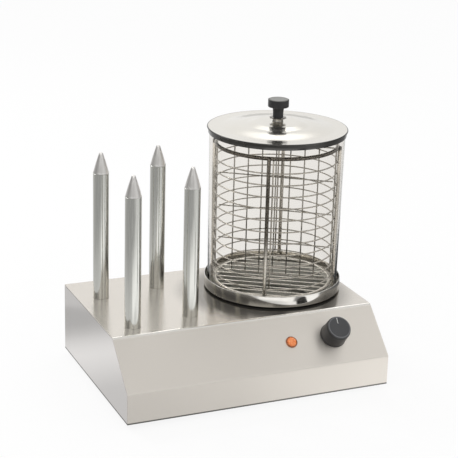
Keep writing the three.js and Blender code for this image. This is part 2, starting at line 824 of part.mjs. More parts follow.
// Star washer on a collar, and the turned knob above it
function makeLidKnob() {
  const star = new THREE.Shape();
  for (let i = 0; i < 2 * washerPoints; i += 1) {
    const angle = (Math.PI * i) / washerPoints;
    const radius = washerRadius - (i % 2) * washerNotch;
    const point = [radius * Math.cos(angle), radius * Math.sin(angle)];
    if (i === 0) star.moveTo(...point);
    else star.lineTo(...point);
  }
  const disc = new THREE.ExtrudeGeometry(star, { depth: washerThickness, bevelEnabled: false });
  const starLow = lidCrown + washerCollarHeight;
  const washerTop = starLow + washerThickness;
  const washer = join([
    disc.translate(0, 0, starLow),
    rod(washerCollarRadius, lidCrown, washerTop - washerThickness / 2),
  ]);
  const washerBore = rod(lidScrewRadius + clearance, lidCrown - overrun, washerTop + overrun);
  addPiece('lid_washer', cut(washer, [washerBore]), polishedSteel, jar);

  const capLow = washerTop + lidStemHeight;
  const capTop = capLow + lidCapHeight;
  const waistZ = washerTop + lidStemHeight / 2;
  const knob = toSolid(turned([
    [0, washerTop],
    [lidStemRadius, washerTop],
    [lidStemWaist, waistZ],
    [lidStemRadius, capLow],
    [lidCapRadius, capLow + lidCapRound],
    [lidCapRadius, capTop - lidCapRound],
    [lidCapRadius - lidCapRound, capTop],
    [0, capTop],
  ]));
  const screwEnd = lidCrown - lidSheet - clearance + lidScrewReach;
  const bore = rod(lidScrewRadius + clearance, washerTop - overrun, screwEnd + clearance);
  addPiece('lid_knob', cut(knob, [bore]), blackPlastic, jar);
}

// Regulator behind the slope, its nut, the turning shaft, knob and pointer
function makeControl() {
  const bodyTop = -sheetThickness - clearance;
  const bodyLow = bodyTop - regulatorDepth;
  const half = regulatorSize / 2;
  const bushTop = bushLength;
  const blades = [-1, 1].map((side) => block(
    [side * half / 2 - bladeWidth / 2, -bladeThickness / 2, bodyLow - bladeLength],
    [side * half / 2 + bladeWidth / 2, bladeThickness / 2, bodyLow + overrun],
  ));
  const body = join([
    block([-half, -half, bodyLow], [half, half, bodyTop]),
    rod(bushRadius, bodyTop - overrun, bushTop),
    ...blades,
  ]);
  const shaftLow = bodyTop - regulatorDepth / 2;
  const bodyBore = rod(shaftRadius + shaftFit, shaftLow - clearance, bushTop + overrun);
  addPiece('regulator_body', cut(body, [bodyBore]), ceramic, controlGroup);

  const nut = toSolid(rod(regulatorNutRadius, 0, regulatorNutHeight, hexSides));
  const nutBore = rod(bushRadius + clearance, -overrun, regulatorNutHeight + overrun);
  addPiece('regulator_nut', cut(nut, [nutBore]), zincSteel, controlGroup);

  const shaftTop = knobGap + knobNutRoom + shaftGrip;
  addPiece('regulator_shaft', toSolid(rod(shaftRadius, shaftLow, shaftTop)), zincSteel, controlGroup);

  const face = knobHeight;
  const knob = toSolid(turned([
    [0, knobGap],
    [knobBaseRadius, knobGap],
    [knobBodyRadius, face - knobCapDepth],
    [knobCapRadius, face - knobCapDepth + knobStep],
    [knobCapRadius, face - knobRound],
    [knobFaceRadius, face],
    [0, face],
  ], knobSegments));
  const pointerOuter = knobFaceRadius;
  const pointerInner = knobFaceRadius - pointerLength;
  const groove = block(
    [-pointerWidth / 2 - clearance, pointerInner - clearance, face - pointerDepth],
    [pointerWidth / 2 + clearance, knobBaseRadius, face + overrun],
  );
  const nutRoom = rod(knobNutRoomRadius, -overrun, knobGap + knobNutRoom);
  const shaftBore = rod(shaftRadius + shaftFit, -overrun, shaftTop + clearance);
  addPiece('control_knob', cut(knob, [groove, nutRoom, shaftBore]), blackPlastic, controlGroup);
  const pointer = block(
    [-pointerWidth / 2, pointerInner, face - pointerDepth],
    [pointerWidth / 2, pointerOuter, face],
  );
  addPiece('knob_pointer', toSolid(pointer), whitePlastic, controlGroup);
}

const controlGroup = new THREE.Group();
const lampGroup = new THREE.Group();
for (const [group, x, along] of [[controlGroup, knobX, knobAlong], [lampGroup, lampX, lampAlong]]) {
  group.rotation.x = slopeAngle;
  group.position.set(
    x,
    casingFront + along * Math.cos(slopeAngle),
    breakZ + along * Math.sin(slopeAngle),
  );
  root.add(group);
}

// Pilot lamp: body with a bezel, lens and fixing nut
function makeLamp() {
  const lensFloor = lampBezelHeight - lampRecess;
  const body = join([
    rod(lampBezelRadius, 0, lampBezelHeight),
    rod(lampBarrelRadius, -lampBarrelLength, lensFloor),
  ]);
  const recess = rod(lampLensRadius + clearance, lensFloor, lampBezelHeight + overrun);
  addPiece('lamp_body', cut(body, [recess]), steel('#8a6f5c', 0.4), lampGroup);
  const lensTop = lensFloor + lampRecess + lampLensRise;
  const lens = turned([
    [0, lensFloor],
    [lampLensRadius, lensFloor],
    [lampLensRadius, lampBezelHeight],
    [lampLensRadius * Math.cos(Math.PI / 6), lampBezelHeight + lampLensRise * Math.sin(Math.PI / 6)],
    [lampLensRadius * Math.cos(Math.PI / 3), lampBezelHeight + lampLensRise * Math.sin(Math.PI / 3)],
    [0, lensTop],
  ]);
  addPiece('lamp_lens', toSolid(lens), amberLens, lampGroup);
  const nutInner = lampBarrelRadius + clearance;
  const nut = tube(nutInner, nutInner + lampNutWall, -sheetThickness - lampNutHeight, -sheetThickness);
  addPiece('lamp_nut', toSolid(nut), blackPlastic, lampGroup);
}

// Cable gland in the back panel, and its locknut inside
function makeGland() {
  const faceIn = backPanelFace - sheetThickness;
  const gland = cut(join([
    rod(glandFlangeRadius, 0, glandFlangeThickness),
    rod(glandBarrelRadius, -glandBarrelLength, glandFlangeThickness),
  ]), [rod(glandBoreRadius, -glandBarrelLength - overrun, glandFlangeThickness + overrun)]);
  const glandPiece = addPiece('cable_gland', gland, blackPlastic);
  glandPiece.rotation.x = -Math.PI / 2;
  glandPiece.position.set(glandX, backPanelFace, glandZ);
  const nutInner = glandBarrelRadius + clearance;
  const nut = tube(nutInner, nutInner + glandNutWall, -glandNutHeight, 0);
  const nutPiece = addPiece('gland_locknut', toSolid(nut), blackPlastic);
  nutPiece.rotation.x = -Math.PI / 2;
  nutPiece.position.set(glandX, faceIn, glandZ);
}

// Terminal block on the base plate
const terminalBottom = casingBottom + sheetThickness;
const terminalTop = terminalBottom + terminalHeight;

function makeTerminalBlock() {
  const x = terminalWidth / 2;
  const y = terminalDepth / 2;
  const step = y - terminalStep;
  const shape = join([
    block([-x, -y, terminalBottom], [x, y, terminalTop - terminalStep]),
    block([-x, -step, terminalBottom], [x, step, terminalTop]),
  ]);
  addPiece('terminal_block', shape, whitePlastic).position.set(terminalX, terminalY, 0);
}

// Wiring inside the casing: a round lead along a smooth line of points
function lead(points) {
  const path = new THREE.CatmullRomCurve3(points.map((point) => new THREE.Vector3(...point)));
  const section = new THREE.Shape(circlePoints(wiringRadius, leadSides));
  return new THREE.ExtrudeGeometry(section, { steps: leadSteps, bevelEnabled: false, extrudePath: path });
}

function makeWiring() {
  const leadZ = terminalBottom + terminalHeight / 2 - terminalStep / 2;
  const blockBack = terminalY + terminalDepth / 2 + wiringGap;
  const glandEnd = backPanelFace - glandBarrelLength - wiringGap;
  const supplyX = terminalX + terminalWidth / 4;
  const supply = lead([
    [glandX, glandEnd, glandZ],
    [glandX, glandEnd - wiringStraight, glandZ],
    [(glandX + supplyX) / 2, (blockBack + glandEnd) / 2, (glandZ + leadZ) / 2],
    [supplyX, blockBack + wiringStraight, leadZ],
    [supplyX, blockBack, leadZ],
  ]);
  addPiece('supply_lead', toSolid(supply), wiringSleeve);

  const reach = sheetThickness + clearance + regulatorDepth + bladeLength + wiringGap;
  const endY = casingFront + knobAlong * Math.cos(slopeAngle) + reach * Math.sin(slopeAngle);
  const endZ = breakZ + knobAlong * Math.sin(slopeAngle) - reach * Math.cos(slopeAngle);
  const blockFront = terminalY - terminalDepth / 2 - wiringGap;
  const heaterLead = lead([
    [terminalX, blockFront, leadZ],
    [terminalX, (blockFront + endY) / 2, leadZ],
    [terminalX, blockFront / 4 + endY * 3 / 4, leadZ + (endZ - leadZ) / 4],
    [knobX, endY, endZ],
  ]);
  addPiece('heater_lead', toSolid(heaterLead), wiringSleeve);
}

makeCasingWrap();
makeSidePanels();
makeBackPanel();
makeBasePlate();
makeFeet();
makeBaseScrews();
makeSpikes();
makeWaterPan();
makeBoiler();
makeGlass();
makeBasketCage();
makeSeparator();
makeFloorGrid();
makeLid();
makeLidKnob();
makeControl();
makeLamp();
makeGland();
makeTerminalBlock();
makeWiring();

export default root;
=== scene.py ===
import math

import bmesh
import bpy
from mathutils import Matrix, Vector


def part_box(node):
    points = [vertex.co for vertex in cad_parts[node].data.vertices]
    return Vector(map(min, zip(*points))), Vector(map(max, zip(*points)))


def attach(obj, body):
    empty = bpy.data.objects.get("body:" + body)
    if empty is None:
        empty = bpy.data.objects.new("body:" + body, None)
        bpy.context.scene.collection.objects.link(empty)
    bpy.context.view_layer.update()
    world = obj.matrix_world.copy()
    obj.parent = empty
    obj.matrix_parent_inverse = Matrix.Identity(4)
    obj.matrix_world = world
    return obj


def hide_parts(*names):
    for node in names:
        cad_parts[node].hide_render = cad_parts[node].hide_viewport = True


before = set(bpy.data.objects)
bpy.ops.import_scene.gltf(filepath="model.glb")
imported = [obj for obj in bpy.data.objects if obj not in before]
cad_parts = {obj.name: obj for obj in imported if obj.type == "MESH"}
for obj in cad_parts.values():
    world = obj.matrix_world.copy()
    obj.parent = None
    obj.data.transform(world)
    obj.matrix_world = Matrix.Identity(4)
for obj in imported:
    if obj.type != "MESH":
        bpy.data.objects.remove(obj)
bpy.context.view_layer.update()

MM = 0.001
WELD = 1e-7
TINY = 1e-6


def corners(name):
    """The lowest and highest corner of a CAD node, in millimetres."""
    low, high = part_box(name)
    return low / MM, high / MM


def middle(name):
    """The middle of a CAD node seen from above, in millimetres."""
    low, high = corners(name)
    return (low.x + high.x) / 2, (low.y + high.y) / 2


# Casing
WRAP_LOW, WRAP_HIGH = corners("casing_wrap")
BOTTOM = WRAP_LOW.z
TOP = WRAP_HIGH.z
FRONT = WRAP_LOW.y
BACK = WRAP_HIGH.y
HALF_WIDTH = WRAP_HIGH.x
FRONT_HEIGHT = 44.0
SLOPE_RUN = 63.0
SHEET = 1.2
BEND = 4.5
SLOPE = math.atan2(TOP - BOTTOM - FRONT_HEIGHT, SLOPE_RUN)
SPIKE_RADIUS = 11.5
SPIKE_TIP = 30.0
SPIKE_GAP = 0.3
SHOULDER = corners("spike_tube_1")[1].z
BOWL_RADIUS = 86.0
BOWL_GAP = 0.8
BUSH_HOLE = 5.3
LAMP_HOLE = 6.7

# Glass jar
GLASS_LOW, GLASS_HIGH = corners("glass_jar")
PAN_X, PAN_Y = middle("glass_jar")
GLASS_RADIUS = (GLASS_HIGH.x - GLASS_LOW.x) / 2
GLASS_WALL = 4.0
BAND_HEIGHT = 15.2
BAND_LIP = 1.0

# Wire basket
BASKET_BOTTOM = corners("basket_cage")[0].z
BASKET_RADIUS = 88.8
RING_WIRE = 1.0
TOP_RING_WIRE = 2.9
BOTTOM_RING_WIRE = 1.2
POST_WIRE = 2.8
THIN_POST_WIRE = 1.2
PANEL_WIRE = 1.0
TOP_RING_Z = BASKET_BOTTOM + 217.0
BOTTOM_RING_Z = BASKET_BOTTOM + 8.0
FIRST_RING_DROP = 22.0
RING_PITCH = 17.5
RINGS = 11
RAIL_PITCH = 51.3
RAILS = 5
BAR_PITCH = 21.0
GRID_PITCH = 16.0
WIRE_STEP = 60
BASKET_TURN = math.radians(32)
PANEL_TURN = math.radians(36)

# Lid
LID_LOW, LID_HIGH = corners("lid_shell")
LID_CROWN = LID_HIGH.z
LID_EDGE = LID_CROWN - 8.0
LID_RADIUS = (LID_HIGH.x - LID_LOW.x) / 2
LID_SHEET = 1.2
STAR_POINTS = 12
CAP_HEIGHT = 13.0
CAP_TOP = corners("lid_knob")[1].z

# Control knob and pilot lamp
KNOB_ALONG = 44.0
KNOB_FACE = 27.0
LAMP_ALONG = 42.5

# Colours
STEEL = (0.765, 0.722, 0.662)
# Painted shade along the lower edge of the casing and the side panels
EDGE_SHADE_COLOR = (0.17, 0.166, 0.155)
# Painted shade and dark reflection on the casing top round the pan
PAN_SHADE_COLOR = (0.32, 0.30, 0.27)
# Painted highlight along the bend between the top and the slope
BEND_HIGHLIGHT_COLOR = (0.90, 0.87, 0.82)
SKIRT_COLOR = (0.085, 0.083, 0.078)

# Stretches of surface grain along X, Y and Z
EVEN = (1, 1, 1)
CLOUDS = (7, 7, 7)
WIRE_GRAIN = (30, 30, 30)
SPIKE_GRAIN = (40, 40, 2)
BAND_GRAIN = (8, 8, 60)
FITTING_GRAIN = (25, 25, 25)

# The part of its range that noise mostly keeps to
NOISE_LOW, NOISE_HIGH = 0.3, 0.7

# Brightness of the room round the object, by bearing. A place of 0.5 is the camera's side,
# and places above it lie to the camera's right.
CAMERA_YAW = math.radians(23.83)
BRIGHTEST = 1.3
ROOM = [
    (0.000, 0.86), (0.083, 0.86), (0.111, 0.66), (0.194, 0.66), (0.222, 0.68), (0.333, 0.68),
    (0.445, 0.72), (0.465, 1.30), (0.619, 1.30), (0.630, 0.26), (0.655, 0.26), (0.662, 1.30),
    (0.732, 1.30), (0.746, 0.10), (0.905, 0.14), (0.930, 0.80), (1.000, 0.86),
]
# Brightness of the floor further out, by the same bearing
FAR_ROOM = [
    (0.000, 0.86), (0.083, 0.86), (0.111, 0.66), (0.194, 0.60), (0.222, 0.46), (0.333, 0.40),
    (0.445, 0.40), (0.500, 0.40), (0.530, 0.46), (0.580, 0.62), (0.660, 0.80), (0.720, 0.70),
    (0.760, 0.48), (0.830, 0.38), (0.905, 0.34), (0.930, 0.80), (1.000, 0.86),
]
# Brightness of the walls above the floor, by the same bearing
WALLS = [
    (0.000, 0.92), (0.083, 0.92), (0.111, 0.50), (0.222, 0.16), (0.560, 0.12), (0.600, 0.60),
    (0.740, 0.46), (0.778, 0.20), (0.900, 0.34), (0.930, 0.80), (1.000, 0.90),
]
# Brightness of the room above the walls, by height
CEILING = [(0.34, 0.88), (0.48, 0.90), (0.58, 1.28), (0.74, 1.28), (0.795, 0.67), (1.00, 0.67)]
# Brightness of the floor near the casing: in front of it from left to right,
# and beside it from front to back
FRONT_FLOOR = [(0.00, 0.71), (0.40, 0.85), (0.75, 1.12), (1.00, 1.23)]
SIDE_FLOOR = [
    (0.00, 0.68), (0.12, 0.70), (0.25, 0.80), (0.36, 0.87), (0.48, 0.92), (0.58, 0.88), (0.68, 0.78),
    (0.77, 0.63), (0.86, 0.53), (1.00, 0.51),
]


def show(name, data):
    made = bpy.data.objects.new(name, data)
    bpy.context.scene.collection.objects.link(made)
    return made


def link(name, mesh, body, finish, replaced):
    piece = show(name, mesh)
    piece.data.materials.append(finish.material)
    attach(piece, body)
    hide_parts(*replaced)
    return piece


def plain_mesh(bm, name):
    mesh = bpy.data.meshes.new(name)
    bm.to_mesh(mesh)
    bm.free()
    return mesh


def finish_mesh(bm, name, sharp=40):
    """A smooth mesh that stays sharp at angles above the given one, in degrees."""
    bmesh.ops.remove_doubles(bm, verts=bm.verts, dist=WELD)
    bmesh.ops.recalc_face_normals(bm, faces=bm.faces)
    mesh = plain_mesh(bm, name)
    mesh.shade_smooth()
    mesh.set_sharp_from_angle(angle=math.radians(sharp))
    return mesh


def fillet(points, radii, steps=5, closed=True, border=0.0):
    """A flat outline with its corners rounded. A radius of 0 keeps a corner.

    A border adds a point on each straight, that far from the rounding, which keeps the straights flat.
    """
    straight = math.pi - 1e-3
    nearly_half = 2.05
    made = []
    count = len(points)
    for i, point in enumerate(points):
        corner = Vector(point)
        at_end = not closed and i in (0, count - 1)
        if radii[i] <= 0 or at_end:
            made.append(tuple(corner))
            continue
        before = Vector(points[i - 1]) - corner
        after = Vector(points[(i + 1) % count]) - corner
        room = min(before.length, after.length) / nearly_half
        before.normalize()
        after.normalize()
        angle = before.angle(after)
        if angle > straight:
            made.append(tuple(corner))
            continue
        slope = math.tan(angle / 2)
        setback = min(radii[i] / slope, room)
        radius = setback * slope
        hub = corner + (before + after).normalized() * (radius / math.sin(angle / 2))
        start = corner + before * setback - hub
        sweep = math.pi - angle
        turn = 1 if start.x * after.y - start.y * after.x > 0 else -1
        if border:
            made.append(tuple(corner + before * (setback + border)))
        for k in range(steps + 1):
            a = turn * sweep * k / steps
            made.append((
                hub.x + start.x * math.cos(a) - start.y * math.sin(a),
                hub.y + start.x * math.sin(a) + start.y * math.cos(a),
            ))
        if border:
            made.append(tuple(corner + after * (setback + border)))
    return made


def bridge(bm, rings, closed=False):
    """Faces between rings of points that each have the same count."""
    pairs = list(zip(rings, rings[1:]))
    if closed:
        pairs.append((rings[-1], rings[0]))
    for low, high in pairs:
        count = len(low)
        for k in range(count):
            n = (k + 1) % count
            bm.faces.new((low[k], low[n], high[n], high[k]))


def cap_ends(bm, rings):
    bm.faces.new(list(reversed(rings[0])))
    bm.faces.new(rings[-1])


def place_rings(bm, rings, matrix):
    bmesh.ops.transform(bm, matrix=matrix, verts=[v for ring in rings for v in ring])


def add_lathe(bm, profile, segments, matrix, closed=False):
    """Turns (radius, height) points about Z. An open profile starts and ends on the axis."""
    rings = []
    for radius, height in profile:
        if radius < TINY:
            rings.append([bm.verts.new(Vector((0, 0, height)) * MM)])
        else:
            rings.append([bm.verts.new(Vector(point) * MM) for point in circle(radius, height, segments)])
    inner = [ring for ring in rings if len(ring) > 1]
    bridge(bm, inner, closed)
    for tip, ring in ((rings[0], inner[0]), (rings[-1], inner[-1])):
        if len(tip) == 1:
            for k in range(segments):
                bm.faces.new((tip[0], ring[k], ring[(k + 1) % segments]))
    place_rings(bm, rings, matrix)


def add_wire(bm, points, radius, sides, matrix, closed=False):
    """A round wire along points, in millimetres. Its open ends are slightly domed."""
    dome = 0.35
    dome_share = 0.6
    path = [Vector(p) for p in points]
    count = len(path)
    if closed:
        tangents = [(path[(i + 1) % count] - path[i - 1]).normalized() for i in range(count)]
    else:
        tangents = [
            (path[min(i + 1, count - 1)] - path[max(i - 1, 0)]).normalized() for i in range(count)
        ]
        start = path[0] - tangents[0] * radius * dome
        end = path[-1] + tangents[-1] * radius * dome
        path = [start, *path, end]
        tangents = [tangents[0], *tangents, tangents[-1]]
    side = tangents[0].orthogonal().normalized()
    rings = []
    for i, centre in enumerate(path):
        side = (side - tangents[i] * side.dot(tangents[i])).normalized()
        other = tangents[i].cross(side)
        at_end = not closed and i in (0, len(path) - 1)
        reach = radius * dome_share if at_end else radius
        ring = []
        for k in range(sides):
            a = 2 * math.pi * k / sides
            ring.append(bm.verts.new((centre + (side * math.cos(a) + other * math.sin(a)) * reach) * MM))
        rings.append(ring)
    bridge(bm, rings, closed)
    if not closed:
        cap_ends(bm, rings)
    place_rings(bm, rings, matrix)


def add_prism(bm, outline, levels, matrix):
    """A flat outline drawn through levels of (height, scale), and closed at both ends."""
    rings = [[bm.verts.new(Vector((x * s, y * s, z)) * MM) for x, y in outline] for z, s in levels]
    bridge(bm, rings)
    cap_ends(bm, rings)
    place_rings(bm, rings, matrix)


def circle(radius, height, steps):
    turns = [2 * math.pi * k / steps for k in range(steps)]
    return [(radius * math.cos(a), radius * math.sin(a), height) for a in turns]


def at(x, y, z=0.0):
    return Matrix.Translation(Vector((x, y, z)) * MM)


def upright_turn(angle):
    return Matrix.Rotation(angle, 4, "Z")


def slope_place(x, along):
    """A place on the sloping front whose own Z points out of it."""
    y = FRONT + along * math.cos(SLOPE)
    z = BOTTOM + FRONT_HEIGHT + along * math.sin(SLOPE)
    return at(x, y, z) @ Matrix.Rotation(SLOPE, 4, "X")


PAN_PLACE = at(PAN_X, PAN_Y)


class Nodes:
    """The node steps that finishes, the floor and the room are made from."""

    def __init__(self, tree):
        self.tree = tree

    def add(self, kind, **settings):
        made = self.tree.nodes.new(kind)
        for key, value in settings.items():
            setattr(made, key, value)
        return made

    def join(self, source, target):
        """Puts an output, a number or a colour on an input."""
        if isinstance(source, bpy.types.NodeSocket):
            self.tree.links.new(source, target)
        elif target.type == "RGBA":
            target.default_value = (*source, 1)
        else:
            target.default_value = source

    def join_all(self, sources, targets):
        for source, target in zip(sources, targets):
            self.join(source, target)

    def merge(self, operation, *values):
        made = self.add("ShaderNodeMath", operation=operation)
        self.join_all(values, made.inputs)
        return made.outputs["Value"]

    def vector(self, operation, *values):
        made = self.add("ShaderNodeVectorMath", operation=operation)
        self.join_all(values, made.inputs)
        return made.outputs["Value" if operation in ("LENGTH", "DOT_PRODUCT") else "Vector"]

    def mix(self, share, first, second):
        """The second shading over the first by a share."""
        made = self.add("ShaderNodeMixShader")
        self.join_all((share, first, second), made.inputs)
        return made.outputs["Shader"]

    def blend(self, share, first, second):
        """The second colour over the first by a share."""
        made = self.add("ShaderNodeMix", data_type="RGBA")
        self.join(share, made.inputs["Factor"])
        self.join_all((first, second), [s for s in made.inputs if s.type == "RGBA"])
        return [s for s in made.outputs if s.type == "RGBA"][0]

    def ramp(self, value, low, high, out_low=0.0, out_high=1.0, kind="SMOOTHSTEP"):
        made = self.add("ShaderNodeMapRange", interpolation_type=kind)
        keys = ("Value", "From Min", "From Max", "To Min", "To Max")
        for key, source in zip(keys, (value, low, high, out_low, out_high)):
            self.join(source, made.inputs[key])
        return made.outputs["Result"]

    def span(self, value, low, high, out_low=0.0, out_high=1.0):
        """A ramp between two distances in millimetres."""
        return self.ramp(value, low * MM, high * MM, out_low, out_high)

    def colors(self, value, stops):
        made = self.add("ShaderNodeValToRGB")
        elements = made.color_ramp.elements
        while len(elements) < len(stops):
            elements.new(0.5)
        for element, (place, color) in zip(elements, stops):
            element.position = place
            element.color = (*color, 1)
        self.join(value, made.inputs["Fac"])
        return made.outputs["Color"]

    def tones(self, value, stops):
        """Greys as shares of the brightest tone."""
        return self.colors(value, [(place, (tone / BRIGHTEST,) * 3) for place, tone in stops])

    def place(self):
        return self.add("ShaderNodeTexCoord").outputs["Object"]

    def axis(self, name, vector=None):
        split = self.add("ShaderNodeSeparateXYZ")
        self.join(self.place() if vector is None else vector, split.inputs["Vector"])
        return split.outputs[name]

    def bearing(self, vector):
        """The way round the upright in which a vector points, from 0 to 1. The camera's side is 0.5."""
        angle = self.merge("ARCTAN2", self.axis("Y", vector), self.axis("X", vector))
        whole = 2 * math.pi
        turn = self.merge("MULTIPLY_ADD", angle, 1 / whole, 0.75 + CAMERA_YAW / whole)
        return self.merge("FRACT", turn)

    def seen(self):
        """1 for what is seen directly or through glass."""
        path = self.add("ShaderNodeLightPath")
        return self.merge("MAXIMUM", path.outputs["Is Camera Ray"], path.outputs["Is Transmission Ray"])


class Finish(Nodes):
    """A material and the surface detail on it."""

    def __init__(self, name, base, metallic, roughness):
        self.material = bpy.data.materials.new(name)
        self.material.use_nodes = True
        super().__init__(self.material.node_tree)
        self.shader = self.tree.nodes["Principled BSDF"]
        self.base = base
        self.paint(base)
        self.feed(metallic, "Metallic")
        self.feed(roughness, "Roughness")

    def feed(self, source, name):
        self.join(source, self.shader.inputs[name])

    def paint(self, color):
        """Sets the surface's colour, which a further blend can start from."""
        self.color = color
        self.feed(color, "Base Color")

    def cover(self, shading):
        self.join(shading, self.tree.nodes["Material Output"].inputs["Surface"])

    def noise(self, stretch, scale, detail=3.0):
        """Noise in the object's own place, stretched along its axes."""
        mapping = self.add("ShaderNodeMapping")
        self.join(self.place(), mapping.inputs["Vector"])
        self.join(stretch, mapping.inputs["Scale"])
        grain = self.add("ShaderNodeTexNoise")
        self.join(mapping.outputs["Vector"], grain.inputs["Vector"])
        self.join(scale, grain.inputs["Scale"])
        self.join(detail, grain.inputs["Detail"])
        return grain.outputs["Fac"]

    def vary(self, noise, low, high):
        """A number that goes with noise from low to high."""
        return self.ramp(noise, NOISE_LOW, NOISE_HIGH, low, high)

    def tint(self, noise, shade):
        """The base colour, slightly darker and lighter with noise."""
        dark = tuple(c * (1 - shade) for c in self.base)
        light = tuple(min(1.0, c * (1 + shade)) for c in self.base)
        return self.colors(noise, [(NOISE_LOW, dark), (NOISE_HIGH, light)])

    def reach(self, x, y):
        """Distance from an upright axis, which is given in millimetres."""
        shift = self.vector("SUBTRACT", self.place(), (x * MM, y * MM, 0))
        return self.vector("LENGTH", self.vector("MULTIPLY", shift, (1, 1, 0)))

    def from_pan(self):
        return self.reach(PAN_X, PAN_Y)

    def shade_lower_edge(self, color):
        """Painted shade along the casing's lower edge, where the gap under it lies in shadow."""
        above = self.span(self.axis("Z"), BOTTOM + 2.0, BOTTOM + 2.5)
        return self.blend(above, EDGE_SHADE_COLOR, color)

    def bump(self, height, strength, distance):
        made = self.add("ShaderNodeBump")
        self.join(height, made.inputs["Height"])
        self.join(strength, made.inputs["Strength"])
        self.join(distance, made.inputs["Distance"])
        self.feed(made.outputs["Normal"], "Normal")

    def brush_along(self, way, amount):
        """Streaks highlights along a direction, as fine brushing across it does."""
        made = self.add("ShaderNodeCombineXYZ")
        self.join_all(way, made.inputs)
        self.feed(made.outputs["Vector"], "Tangent")
        self.feed(amount, "Anisotropic")


def brushed(name, base, roughness, grain, spread=0.03, shade=0.012, edge_shade=False):
    """Satin steel with fine lines along the axis in which grain is small."""
    steel = Finish(name, base, 1.0, roughness)
    fine = steel.noise(grain, 60.0)
    color = steel.tint(steel.noise(CLOUDS, 1.0, 2.0), shade)
    # Optionally painted shade along the lower edge
    steel.paint(steel.shade_lower_edge(color) if edge_shade else color)
    steel.feed(steel.vary(fine, roughness - spread, roughness + spread), "Roughness")
    steel.bump(fine, 0.03, 0.03 * MM)
    return steel


def polished(name, base, roughness, shade):
    steel = Finish(name, base, 1.0, roughness)
    lines = steel.noise(WIRE_GRAIN, 14.0)
    steel.paint(steel.tint(lines, shade))
    steel.feed(steel.vary(lines, roughness * 0.85, roughness * 1.2), "Roughness")
    steel.bump(lines, 0.02, 0.03 * MM)
    return steel


def moulded(name, base, roughness, grain=900.0, strength=0.12):
    spread = 0.06
    plastic = Finish(name, base, 0.0, roughness)
    fine = plastic.noise(EVEN, grain, 2.0)
    plastic.paint(plastic.tint(plastic.noise(EVEN, 60.0, 2.0), 0.1))
    plastic.feed(plastic.vary(fine, roughness - spread, roughness + spread), "Roughness")
    plastic.bump(fine, strength, 0.08 * MM)
    return plastic


def make_casing_steel():
    """Satin steel, smoother on the top and its bend, with painted shade and dark reflection on the top
    round the pan, a painted highlight along the bend, and painted shade along the lower edge.
    """
    satin, bend_polish = 0.40, 0.24
    steel = Finish("casing_steel", STEEL, 0.9, satin)
    on_top = steel.span(steel.axis("Z"), TOP - 0.7, TOP - 0.2)
    smoother = steel.span(steel.from_pan(), 130, 175, -0.28, -0.135)
    behind_bend = steel.merge("SUBTRACT", steel.axis("Y"), (FRONT + SLOPE_RUN) * MM)
    from_bend = steel.merge("ABSOLUTE", behind_bend)
    rough = steel.span(from_bend, 1.8, 3.2, bend_polish, satin)
    steel.feed(steel.merge("ADD", steel.merge("MULTIPLY", on_top, smoother), rough), "Roughness")
    # Painted shade along the lower edge, over a faint random tone
    plain = steel.shade_lower_edge(steel.tint(steel.noise(CLOUDS, 1.0, 2.0), 0.012))
    # Painted shade and dark reflection on the top, strongest to the left of and in front of the pan
    clear_of_pan_shade = steel.span(steel.reach(PAN_X - 22, PAN_Y - 22), 100, 142)
    sheet = steel.blend(on_top, plain, steel.blend(clear_of_pan_shade, PAN_SHADE_COLOR, plain))
    # A painted highlight along the bend from the top to the slope
    bend_highlight = steel.span(from_bend, 1.4, 3.0, 1.0, 0.0)
    steel.paint(steel.blend(bend_highlight, sheet, BEND_HIGHLIGHT_COLOR))
    steel.brush_along((0, 0.6, 0.8), 0.75)
    return steel


def make_spike_steel():
    """Polished tube with fine lines along it, and a duller, paler turned tip."""
    steel = Finish("spike_steel", (0.69, 0.69, 0.65), 1.0, 0.19)
    lines = steel.noise(SPIKE_GRAIN, 14.0)
    tip = steel.span(steel.axis("Z"), SHOULDER, SHOULDER + 0.3)
    steel.paint(steel.blend(tip, steel.tint(lines, 0.05), (0.90, 0.88, 0.85)))
    duller = steel.ramp(tip, 0.0, 1.0, 0.0, 0.24)
    steel.feed(steel.merge("ADD", steel.vary(lines, 0.14, 0.21), duller), "Roughness")
    steel.bump(lines, 0.02, 0.03 * MM)
    return steel


def make_cage_steel():
    """Thin rings in mid grey. The thick front post and the top ring are darker high up and bright low
    down, which is painted shade and a painted highlight.
    """
    steel = polished("cage_steel", (0.42, 0.40, 0.365), 0.24, 0.12)
    # Painted light by height: a painted highlight low down, painted shade higher up
    high = steel.span(steel.axis("Z"), TOP + 55, TOP + 110)
    dark = steel.blend(high, (0.66, 0.64, 0.60), (0.11, 0.10, 0.085))
    outer = BASKET_RADIUS + RING_WIRE + 0.1
    thick = steel.span(steel.from_pan(), outer, outer + 0.2)
    turn = -BASKET_TURN - math.pi / 2
    front_post = steel.reach(PAN_X + outer * math.cos(turn), PAN_Y + outer * math.sin(turn))
    aside = steel.span(front_post, 10, 14)
    under = steel.span(steel.axis("Z"), TOP_RING_Z - 5, TOP_RING_Z - 3, 1.0, 0.0)
    posts = steel.blend(steel.merge("MULTIPLY", aside, under), dark, (0.62, 0.585, 0.53))
    steel.paint(steel.blend(thick, steel.color, posts))
    return steel


def make_lid_steel():
    """Bright satin steel, slightly hollow along the flank, with the rolled edge and the skirt dark."""
    steel = Finish("lid_polish", (0.84, 0.81, 0.745), 1.0, 0.38)
    rim = LID_RADIUS - 1.7
    from_axis = steel.from_pan()
    outside = steel.span(from_axis, rim, rim + 0.3)
    above = steel.span(steel.axis("Z"), LID_EDGE - 0.9, LID_EDGE - 0.7)
    top = steel.blend(outside, steel.tint(steel.noise((6, 6, 6), 1.0, 2.0), 0.015), SKIRT_COLOR)
    steel.paint(steel.blend(above, SKIRT_COLOR, top))
    steel.feed(steel.vary(steel.noise(WIRE_GRAIN, 40.0, 2.0), 0.13, 0.18), "Roughness")
    steel.bump(steel.span(from_axis, 52, 84, 0.0, -2.2 * MM), 1.0, 1.0)
    return steel


